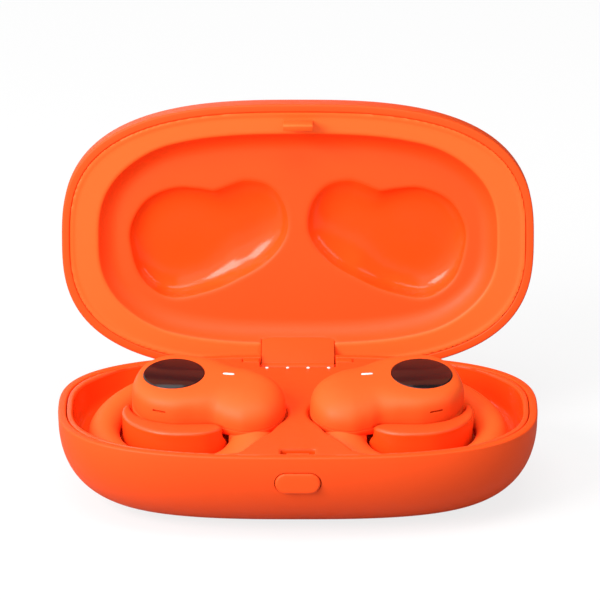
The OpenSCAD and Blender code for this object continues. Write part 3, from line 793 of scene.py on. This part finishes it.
# the lid lining: an outer lip, a flat ledge, a crease and a curved pan with two hollows
lining = {
    "low": (-46.8, -26.8, 18.6), "high": (46.8, 26.8, 28.2), "step": 0.42, "edge": 1.62, "skin": 1.0,
    "soft": 0.15, "ledge": 19.5, "ledgeEnd": 6.1, "wall": 4.4, "curve": 2.4, "face": 22.7, "lip": 0.2,
    "lipRamp": (2.2, 0.4), "crease": 0.3, "grid": 0.02, "sideExtra": 1.3, "sideRamp": (26, 16),
    "sideFade": (2.4, 4), "hollow": (1, 0.7), "hollowSoft": 0.5, "armRoom": (7.5, 21.5, -1, 24.7, 1),
    "search": (-3.0, 27.99, 26),
}
liningInset = np.arange(0, 60, lining["grid"])
liningDown = np.clip((liningInset - lining["ledgeEnd"]) / lining["wall"], 0, 1)
liningRise = lining["ledge"] + (lining["face"] - lining["ledge"]) * (1 - (1 - liningDown) ** lining["curve"])
liningRise -= lining["lip"] * (1 - ramp(liningInset, *lining["lipRamp"]))
# the crease is eased over a short stretch
creaseSteps = int(lining["crease"] / lining["grid"])
creaseSpan = 2 * creaseSteps + 1
padded = np.pad(liningRise, creaseSteps, mode="edge")
liningRise = np.convolve(padded, np.ones(creaseSpan) / creaseSpan, "valid")
liningLean = 1 / np.sqrt(1 + np.gradient(liningRise, lining["grid"]) ** 2)


def insetOf(x, y):
    # by halving, the inset whose outline runs through a point
    least, most, rounds = lining["search"]
    low, high = np.full(x.shape, least), np.full(x.shape, most)
    for k in range(rounds):
        t = (low + high) / 2
        out = planShare(x, y, t) > 1
        high, low = np.where(out, t, high), np.where(out, low, t)
    return low


def liningField(x, y, z):
    if x.ndim == 3:
        inset = np.broadcast_to(insetOf(x[:, :, 0], y[:, :, 0])[:, :, None], x.shape)
    else:
        inset = insetOf(x, y)
    side = lining["sideExtra"] * ramp(np.abs(x), *lining["sideRamp"])
    side = inset - side * ramp(inset, *lining["sideFade"])
    under = (np.interp(side, liningInset, liningRise) - z) * np.interp(side, liningInset, liningLean)
    u, v, w = seatFrame(x, y, z)
    sheet = softMax(under, -crownGap(u, v, w, *lining["hollow"]), lining["hollowSoft"])
    body = np.maximum(sheet, -sheet - lining["skin"])
    body = softMax(body, lining["edge"] - inset, lining["soft"])
    return softMax(body, -roomGap(x, y, z, lining["armRoom"]), lining["soft"])


points, faces = surfaceNet(liningField, lining["low"], lining["high"], lining["step"])
liningPiece = objectOf("lidLining", meshOf("lidLining", opened(points), faces))
dress(liningPiece, "lid", "lining", "lid_lining", angle=60)
print("lining made:", len(faces), "faces")


def openUp(obj):
    obj.data.vertices.foreach_set("co", (opened(pointsOf(obj)) * mm).ravel())
    obj.data.update()


# outlines are rows of y and z with the lid shut
hingeArm = {
    "half": 7.4, "front": [(21.0, 20.85), (24.95, 15.6)], "barrel": 1.7, "bend": (194, 372, 22),
    "back": [(27.7, 19.0), (25.9, 19.4)], "top": (25.5, 21.0), "rise": 1.1, "soft": 0.3,
    "slot": 2.3, "coilRoom": 1.5, "coilSteps": 48, "skinLow": 14.6, "slotFar": 56, "backHigh": 18,
}


def hingeArc(radius, angles):
    return [(case["hingeY"] + radius * math.cos(a), case["hingeZ"] + radius * math.sin(a)) for a in angles]


armOutline = hingeArm["front"] + hingeArc(hingeArm["barrel"], np.radians(np.linspace(*hingeArm["bend"])))
armOutline += hingeArm["back"] + [(y, faceZ + hingeArm["rise"]) for y in hingeArm["top"]]
arm = softEdges(crossPrism("hingeArm", armOutline, hingeArm["half"]), hingeArm["soft"], 4)
coilTurn = np.linspace(0, 2 * math.pi, hingeArm["coilSteps"], endpoint=False)
half, far = hingeArm["slot"], hingeArm["slotFar"]
carve(arm, [
    crossPrism("coilRoom", hingeArc(hingeArm["coilRoom"], coilTurn), half),
    boxObject("lowRoom", (-half, 0, 0), (half, far, hingeArm["skinLow"])),
    boxObject("backRoom", (-half, case["hingeY"], 0), (half, far, hingeArm["backHigh"])),
])
openUp(arm)
dress(arm, "lid", "case_shell", "hinge_arm")

latchHook = {
    "half": 3.0, "tabLow": (-26.0, 19.8), "tabHigh": (-23.4, 22.0), "soft": 0.22,
    "barb": [(-24.7, 19.9), (-24.7, 15.7), (-24.4, 15.3), (-23.3, 15.8), (-23.3, 16.0), (-23.9, 16.0),
             (-23.9, 19.9)],
}
half = latchHook["half"]
latch = joined("latchHook", [
    boxObject("latchTab", (-half, *latchHook["tabLow"]), (half, *latchHook["tabHigh"])),
    crossPrism("latchBarb", latchHook["barb"], half),
])
openUp(latch)
dress(softEdges(latch, latchHook["soft"]), "lid", "case_shell", "latch_hook", finish="lining")

# rows of the button's face are inset and depth
button = {
    "size": (9.0, 4.4), "front": -28.1, "back": -26.2, "flange": (10.6, 3.2), "flangeBack": -25.5,
    "face": [(2.0, 0.0), (1.3, 0.008), (0.9, 0.02)], "crown": 0.06, "soft": 0.55, "arcSteps": 24,
}


def buttonRing(inset, depth):
    width, height = button["size"]
    return standing(pillOutline(width - 2 * inset, height - 2 * inset, button["arcSteps"]),
                    button["front"] + depth, case["buttonZ"])


soft = button["soft"]
rows = button["face"] + [(soft - soft * math.sin(a), button["crown"] + soft - soft * math.cos(a))
                         for a in quarter(7)]
rings = [buttonRing(*row) for row in rows]
rings.append(rings[-1] + (0, button["back"] - rings[-1][0, 1], 0))
flange = pillOutline(*button["flange"], button["arcSteps"])
rings += [standing(flange, y, case["buttonZ"]) for y in (button["back"], button["flangeBack"])]
buttonPiece = loftObject("releaseButton", rings)
dress(buttonPiece, "release_button", "case_shell", "release_button", angle=30)

latchCoil = {"turns": 3.5, "radius": 1.2, "wire": 0.17, "front": -21.1, "back": -18.8, "z": 13.0,
             "perTurn": 36, "kept": 0.45}


def coilGroup():
    pen, given = nodeGroup("coilSweep", "Coil", {
        "Turns": "Float", "Radius": "Float", "Length": "Float", "Wire": "Float", "Steps": "Int",
        "Place": "Vector", "Finish": "Material"})
    spiral = pen.node("GeometryNodeCurveSpiral", {
        "Resolution": given["Steps"], "Rotations": given["Turns"], "Height": given["Length"],
        "Start Radius": given["Radius"], "End Radius": given["Radius"]})
    section = pen.node("GeometryNodeCurvePrimitiveCircle", {"Resolution": 12, "Radius": given["Wire"]})
    wire = pen.node("GeometryNodeCurveToMesh", {
        "Curve": spiral, "Profile Curve": section, "Fill Caps": True})
    laid = pen.node("GeometryNodeTransform", {
        "Geometry": wire, "Rotation": (-math.pi / 2, 0, 0), "Translation": given["Place"]})
    return endGroup(pen, laid, given["Finish"])


coil = grown(objectOf("latchCoil", bpy.data.meshes.new("latchCoil")), coilGroup(), {
    "Turns": latchCoil["turns"], "Radius": latchCoil["radius"] * mm, "Wire": latchCoil["wire"] * mm,
    "Length": (latchCoil["back"] - latchCoil["front"]) * mm, "Steps": latchCoil["perTurn"],
    "Place": (0, latchCoil["front"] * mm, latchCoil["z"] * mm), "Finish": finishOf["steel"]})
coil.data = meshOf("latchCoil", pointsOf(coil), [p.vertices for p in coil.data.polygons])
dress(coil, "case_base", "steel", "latch_spring", angle=60)
coilAnchor = (0, latchCoil["back"] * mm, latchCoil["z"] * mm)
latchCoil["kept"]
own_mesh(coil)
print("hinge, latch and button made")

# cuts in the shells; pairs named deep are where a cut starts and how far it goes
shellPiece = {
    "levels": (0.015, 0.995, 26), "levelPower": 3.6, "groove": 0.14, "crownLow": -1.6, "bellyLess": -1.1,
    "discHole": (6.22, -0.95, 2), "lightHole": (2.5, 0.8), "lightAt": (-10.9, 1.3), "lightDeep": (-3, 5),
    "micSlit": (2.8, 0.5), "micAt": (1.2, -3.1), "micDeep": (-20, 12), "speakerHole": (3.05, -20, -10),
    "padHole": (0.95, -13, -5),
}
touchDisc = {"radius": 6.15, "low": -0.92, "soft": 0.22, "softAt": -0.24, "dome": (5.9, 0.3), "domeAt": -0.02}
lightPipe = {"size": (2.4, 0.7), "rows": [(0.0, -1.9), (0.0, -0.12), (0.04, -0.04), (0.12, 0.0)]}


def podRing(rho, grow):
    edge = podEdge + grow * podOut
    middle = np.stack([np.clip(edge[:, 0], spineIn, spineOut), np.full(len(edge), spineV)], 1)
    return edge, middle + rho * (edge - middle)


def crownRing(rho, grow, top):
    edge, q = podRing(rho, grow)
    power = crownPower(edge[:, 0])
    w = parting + (top - parting) * np.maximum(0, 1 - rho ** power) ** (1 / power)
    return np.column_stack([q, w])


def bellyRing(rho, grow, extra):
    q = podRing(rho, grow)[1]
    deep = bellyDepth(q[:, 0], extra) + parting
    return np.column_stack([q, parting - deep * max(0, 1 - rho ** pod["power"]) ** (1 / pod["power"])])


rhoRows = [bulge(t, shellPiece["levelPower"]) for t in np.linspace(*shellPiece["levels"])]

for side in (-1, 1):
    tag, body = nameOf[side], nameOf[side] + "_bud"

    def place(points):
        return seated(points, side)

    upper = [crownRing(r, -pod["wall"], shellPiece["crownLow"]) for r in [*rhoRows[::4], 1]]
    upper += [crownRing(1, -shellPiece["groove"], 0)] + [crownRing(r, 0, 0) for r in rhoRows[::-1]]
    shell = loftObject(tag + "OuterShell", [place(r) for r in upper])
    lightU, lightV = shellPiece["lightAt"]
    lightLow, lightLong = shellPiece["lightDeep"]
    micU, micW = shellPiece["micAt"]
    micLow, micLong = shellPiece["micDeep"]
    carve(shell, [
        roundCut("discCut", *shellPiece["discHole"], place, 96),
        prism("lightCut", pillOutline(*shellPiece["lightHole"]),
              lambda u, v, k: place([[u + lightU, v + lightV, lightLow + lightLong * k]])[0]),
        prism("micCut", pillOutline(*shellPiece["micSlit"]),
              lambda u, v, k: place([[u + micU, micLow + micLong * k, v + micW]])[0]),
    ])
    dress(shell, body, "bud_shell", tag + "_outer_shell", angle=40)

    lower = [bellyRing(r, 0, 0) for r in rhoRows] + [bellyRing(1, -shellPiece["groove"], 0)]
    lower += [bellyRing(r, -pod["wall"], shellPiece["bellyLess"]) for r in [1, *rhoRows[::-4]]]
    belly = loftObject(tag + "InnerShell", [place(r) for r in lower])
    cuts = [roundCut("speakerCut", *shellPiece["speakerHole"], place, 64)]
    for k in (-1, 1):
        spot = (seat["pinU"] + k * seat["pinHalf"], seat["pinV"], 0)
        cuts.append(roundCut("padCut", *shellPiece["padHole"], lambda r: place(r + spot), 32))
    carve(belly, cuts)
    dress(belly, body, "bud_shell", tag + "_inner_shell", angle=40)

    soft, radius = touchDisc["soft"], touchDisc["radius"]
    profile = [(0, touchDisc["low"]), (radius, touchDisc["low"])]
    profile += [(radius - soft + soft * math.cos(a), touchDisc["softAt"] + soft * math.sin(a))
                for a in quarter(6, math.pi / 2 - 0.1)]
    wide, rise = touchDisc["dome"]
    profile += [(wide * math.cos(t), touchDisc["domeAt"] + rise * (1 - math.cos(t) ** 2))
                for t in np.linspace(0.05, math.pi / 2, 24)]
    disc = lathe(tag + "TouchDisc", profile, place, 96)
    dress(disc, body, "touch_disc", tag + "_touch_disc", angle=50)

    glowRings = []
    for inset, height in lightPipe["rows"]:
        outline = pillOutline(*(size - 2 * inset for size in lightPipe["size"])) + [lightU, lightV]
        glowRings.append(place(np.column_stack([outline, np.full(len(outline), height)])))
    pipe = loftObject(tag + "LightPipe", glowRings)
    dress(pipe, body, "light", tag + "_light_pipe", angle=50)
print("earbud shells made")


def sweepGroup():
    # a grid is wrapped round the route, with a flat start and a domed tip
    pen, given = nodeGroup("hookSweep", "Hook", {
        "Route": "Geometry", "Along": "Int", "Around": "Int", "Root": "Float", "Middle": "Float",
        "Tip": "Float", "Thick": "Float", "Finish": "Material"})
    root, middle, tip = given["Root"], given["Middle"], given["Tip"]
    curve = pen.node("GeometryNodeMeshToCurve", {"Mesh": given["Route"]})
    grid = pen.node("GeometryNodeMeshGrid", {
        "Size X": 1.0, "Size Y": 1.0, "Vertices X": given["Along"], "Vertices Y": given["Around"]})
    spot = pen.node("ShaderNodeSeparateXYZ", {0: pen.node("GeometryNodeInputPosition")})
    share = spot["X"] + 0.5
    angle = (spot["Y"] + 0.5) * (2 * math.pi)
    blunt, capFrom = hook["blunt"], hook["capFrom"]
    length = pen.math("MINIMUM", pen.math("MAXIMUM", (share - blunt) / (capFrom - blunt), 0.0), 1.0)
    cap = pen.math("MAXIMUM", (share - capFrom) / (1 - capFrom), 0.0) * (math.pi / 2)
    shut = pen.math("COSINE", cap) * pen.math("MINIMUM", share / blunt, 1.0)
    sample = pen.node("GeometryNodeSampleCurve", {"Curves": curve, "Factor": length}, "Position",
                      mode="FACTOR", use_all_curves=True)
    along = sample["Tangent"]

    def scaled(direction, amount):
        return pen.node("ShaderNodeVectorMath", {0: direction, "Scale": amount}, operation="SCALE")

    across = pen.vector("NORMALIZE", pen.vector("CROSS_PRODUCT", along, (0, 0, 1)))
    half = root + (middle - root) * pen.smooth(length, 0.0, hook["taperIn"])
    half = half + (tip - middle) * pen.smooth(length, hook["taperOut"], 1.0)
    wide = scaled(across, half * pen.math("COSINE", angle) * shut)
    high = scaled((0, 0, 1), given["Thick"] * pen.math("SINE", angle) * shut)
    ahead = scaled(along, tip * pen.math("SINE", cap))
    place = pen.vector("ADD", pen.vector("ADD", sample, ahead), pen.vector("ADD", wide, high))
    moved = pen.node("GeometryNodeSetPosition", {"Geometry": grid, "Position": place})
    closed = pen.node("GeometryNodeMergeByDistance", {"Geometry": moved, "Distance": 1e-6})
    return endGroup(pen, closed, given["Finish"])


route = splinePoints(hook["route"], 8, False) * mm
routeMesh = bpy.data.meshes.new("hookRoute")
routeMesh.from_pydata([tuple(p) for p in route], [(i, i + 1) for i in range(len(route) - 1)], [])
swept = grown(objectOf("hookRoute", routeMesh), sweepGroup(), {
    "Along": hook["along"], "Around": hook["around"] + 1, "Root": hook["root"] * mm,
    "Middle": hook["mid"] * mm, "Tip": hook["tip"] * mm, "Thick": hook["thick"] * mm,
    "Finish": finishOf["silicone"]})
hookPoints, hookFaces = pointsOf(swept), [tuple(p.vertices) for p in swept.data.polygons]
drop(swept)
for side in (-1, 1):
    tag = nameOf[side] + "EarHook"
    piece = objectOf(tag, meshOf(tag, seated(hookPoints, side), hookFaces))
    dress(piece, nameOf[side] + "_bud", "silicone", nameOf[side] + "_ear_hook", angle=70)
print("ear hooks made:", len(hookFaces), "faces each")

# profile rows of a charging pin are radius and height above its base
pin = {
    "base": -13.0, "tip": 0.45, "top": 3.9, "flange": [(0, -2.8), (0.72, -2.8), (0.72, -2.05), (0.45, -2.05)],
    "collar": [(0.45, 2.3), (0.68, 2.3), (0.68, 3.2), (0.62, 3.34), (0.49, 3.4)],
}
nose = [(pin["tip"] * math.cos(a), pin["top"] - pin["tip"] + pin["tip"] * math.sin(a))
        for a in quarter(9)]
for side in (-1, 1):
    for k, word in ((-1, "inner"), (1, "outer")):
        at = (seat["pinU"] + k * seat["pinHalf"], seat["pinV"], pin["base"])
        node = nameOf[side] + "_" + word + "_pin"
        made = lathe(nameOf[side] + word.capitalize() + "Pin", pin["flange"] + pin["collar"] + nose,
                     lambda r: seated(r + at, side), 40)
        dress(made, node, "gold", node, angle=50)

lights = {"count": 4, "pitch": 4.17, "y": 20.75, "radius": 0.34, "rise": 0.2, "sink": 0.5}


def rowGroup():
    # repeats the piece along a straight row
    pen, given = nodeGroup("lightRow", "Row", {
        "Lens": "Geometry", "Count": "Int", "Start": "Vector", "Step": "Vector", "Finish": "Material"})
    line = pen.node("GeometryNodeMeshLine", {
        "Count": given["Count"], "Start Location": given["Start"], "Offset": given["Step"]}, mode="OFFSET")
    row = pen.node("GeometryNodeInstanceOnPoints", {"Points": line, "Instance": given["Lens"]})
    return endGroup(pen, row, given["Finish"])


lens = [(0, -lights["sink"]), (lights["radius"], -lights["sink"])]
lens += [(lights["radius"] * math.cos(a), lights["rise"] * math.sin(a)) for a in quarter(7)]
lightRow = grown(lathe("chargeLights", lens, lambda r: r, 24), rowGroup(), {
    "Count": lights["count"], "Finish": finishOf["light"], "Step": (lights["pitch"] * mm, 0, 0),
    "Start": (-lights["pitch"] * (lights["count"] - 1) / 2 * mm, lights["y"] * mm, tray["top"] * mm)})
dress(lightRow, "case_base", "light", angle=50)

# rows of the socket's shell are width, height and y
socket = {
    "rows": [(8.94, 3.26, 17.4), (8.94, 3.26, 24.6), (8.8, 3.12, 24.7), (8.44, 2.66, 24.7),
             (8.34, 2.56, 24.6), (8.34, 2.56, 18.2)],
    "tongue": ((-3.3, 18.1, 7.88), (3.3, 23.6, 8.58)), "soft": 0.15,
}
rings = [standing(pillOutline(width, height, 20), y, case["socketZ"]) for width, height, y in socket["rows"]]
dress(loftObject("socketShell", rings), "case_base", "socket", "usb_socket", angle=40)
tongue = softEdges(boxObject("socketTongue", *socket["tongue"]), socket["soft"])
dress(tongue, "case_base", "socket", finish="pin_block")
print("pins and socket made")

# camera and lights are in metres; the lens gives 4.992 picture points a millimetre on 600
view = {"aim": (0.00043, 0.00754, 0.0387), "distance": 1.516, "elevation": 20.97, "sensor": 36,
        "lens": 4.992 * 1516 / 600 * 36, "clip": (0.05, 50)}
lift = math.radians(view["elevation"])
back = Vector((0, -math.cos(lift), math.sin(lift)))
glass = bpy.data.cameras.new("photoView")
glass.lens, glass.sensor_width = view["lens"], view["sensor"]
glass.clip_start, glass.clip_end = view["clip"]
camera = objectOf("photoView", glass)
camera.location = Vector(view["aim"]) + back * view["distance"]
camera.rotation_euler = (-back).to_track_quat("-Z", "Y").to_euler()
bpy.context.scene.camera = camera
bpy.context.scene.view_settings.view_transform = "Standard"

# the sky is white to the camera, a soft slope to matt faces and a panel on the left to polished ones
light = {"from": (-0.70, -0.40, 0.59), "slope": (-0.3, 0.85, 0.05, 0.85), "panel": (0.01, -0.01, 0.03, 1.6)}
world = bpy.data.worlds.new("studio")
world.use_nodes = True
bpy.context.scene.world = world
air = Plug(world.node_tree)
ray = air.node("ShaderNodeLightPath", out="Is Camera Ray")
seen = air.math("MAXIMUM", ray, ray["Is Transmission Ray"])
shine = ray["Is Glossy Ray"]
glow = world.node_tree.nodes["Background"]
glow.inputs["Color"].default_value = (1, 1, 1, 1)
sky = air.node("ShaderNodeTexCoord", out="Generated")
slope = air.smooth(air.vector("DOT_PRODUCT", sky, light["from"], out="Value"), *light["slope"])
panel = air.smooth(air.node("ShaderNodeSeparateXYZ", {0: sky}), *light["panel"])
air.feed(glow.inputs["Strength"], seen + (1 - seen) * (slope * (1 - shine) + panel * shine))

boxAim = Vector((0, 0.01, 0.03))
softboxes = {
    "keyBox": (6.4, (0.4, 0.4), (-0.50, -0.46, 0.44)),
    "topBox": (2.0, (0.5, 0.25), (0.0, -0.25, 0.72)),
    "rimBox": (0.5, (0.15, 0.4), (0.55, -0.1, 0.35)),
}
for name, (power, size, at) in softboxes.items():
    lamp = bpy.data.lights.new(name, "AREA")
    lamp.energy, lamp.shape, lamp.size, lamp.size_y = power, "RECTANGLE", *size
    holder = objectOf(name, lamp)
    holder.location = at
    holder.rotation_euler = (boxAim - Vector(at)).to_track_quat("-Z", "Y").to_euler()

ground = {"half": 3000, "toLight": (0.38, 0.36, 0.35, 1), "toCamera": (0.9, 0.9, 0.9, 1), "lit": 0.8}
half = ground["half"]
floorMesh = meshOf("floor", [(-half, -half, 0), (half, -half, 0), (half, half, 0), (-half, half, 0)],
                   [(0, 1, 2, 3)], False)
floor = objectOf("floor", floorMesh)
floorMaterial, paint, matt = newMaterial("paleFloor", Roughness=0.9)
seenFloor = paint.node("ShaderNodeLightPath", out="Is Camera Ray")
paint.feed(matt.inputs["Base Color"], paint.mixed(seenFloor, ground["toLight"], ground["toCamera"]))
white = paint.node("ShaderNodeEmission", {"Color": (1, 1, 1, 1), "Strength": 1.0})
both = paint.node("ShaderNodeMixShader", {
    0: seenFloor * ground["lit"], 1: Plug(paint.tree, matt.outputs[0]), 2: white})
paint.feed(paint.tree.nodes["Material Output"].inputs["Surface"], both)
floorMesh.materials.append(floorMaterial)
print("camera, floor and light set")
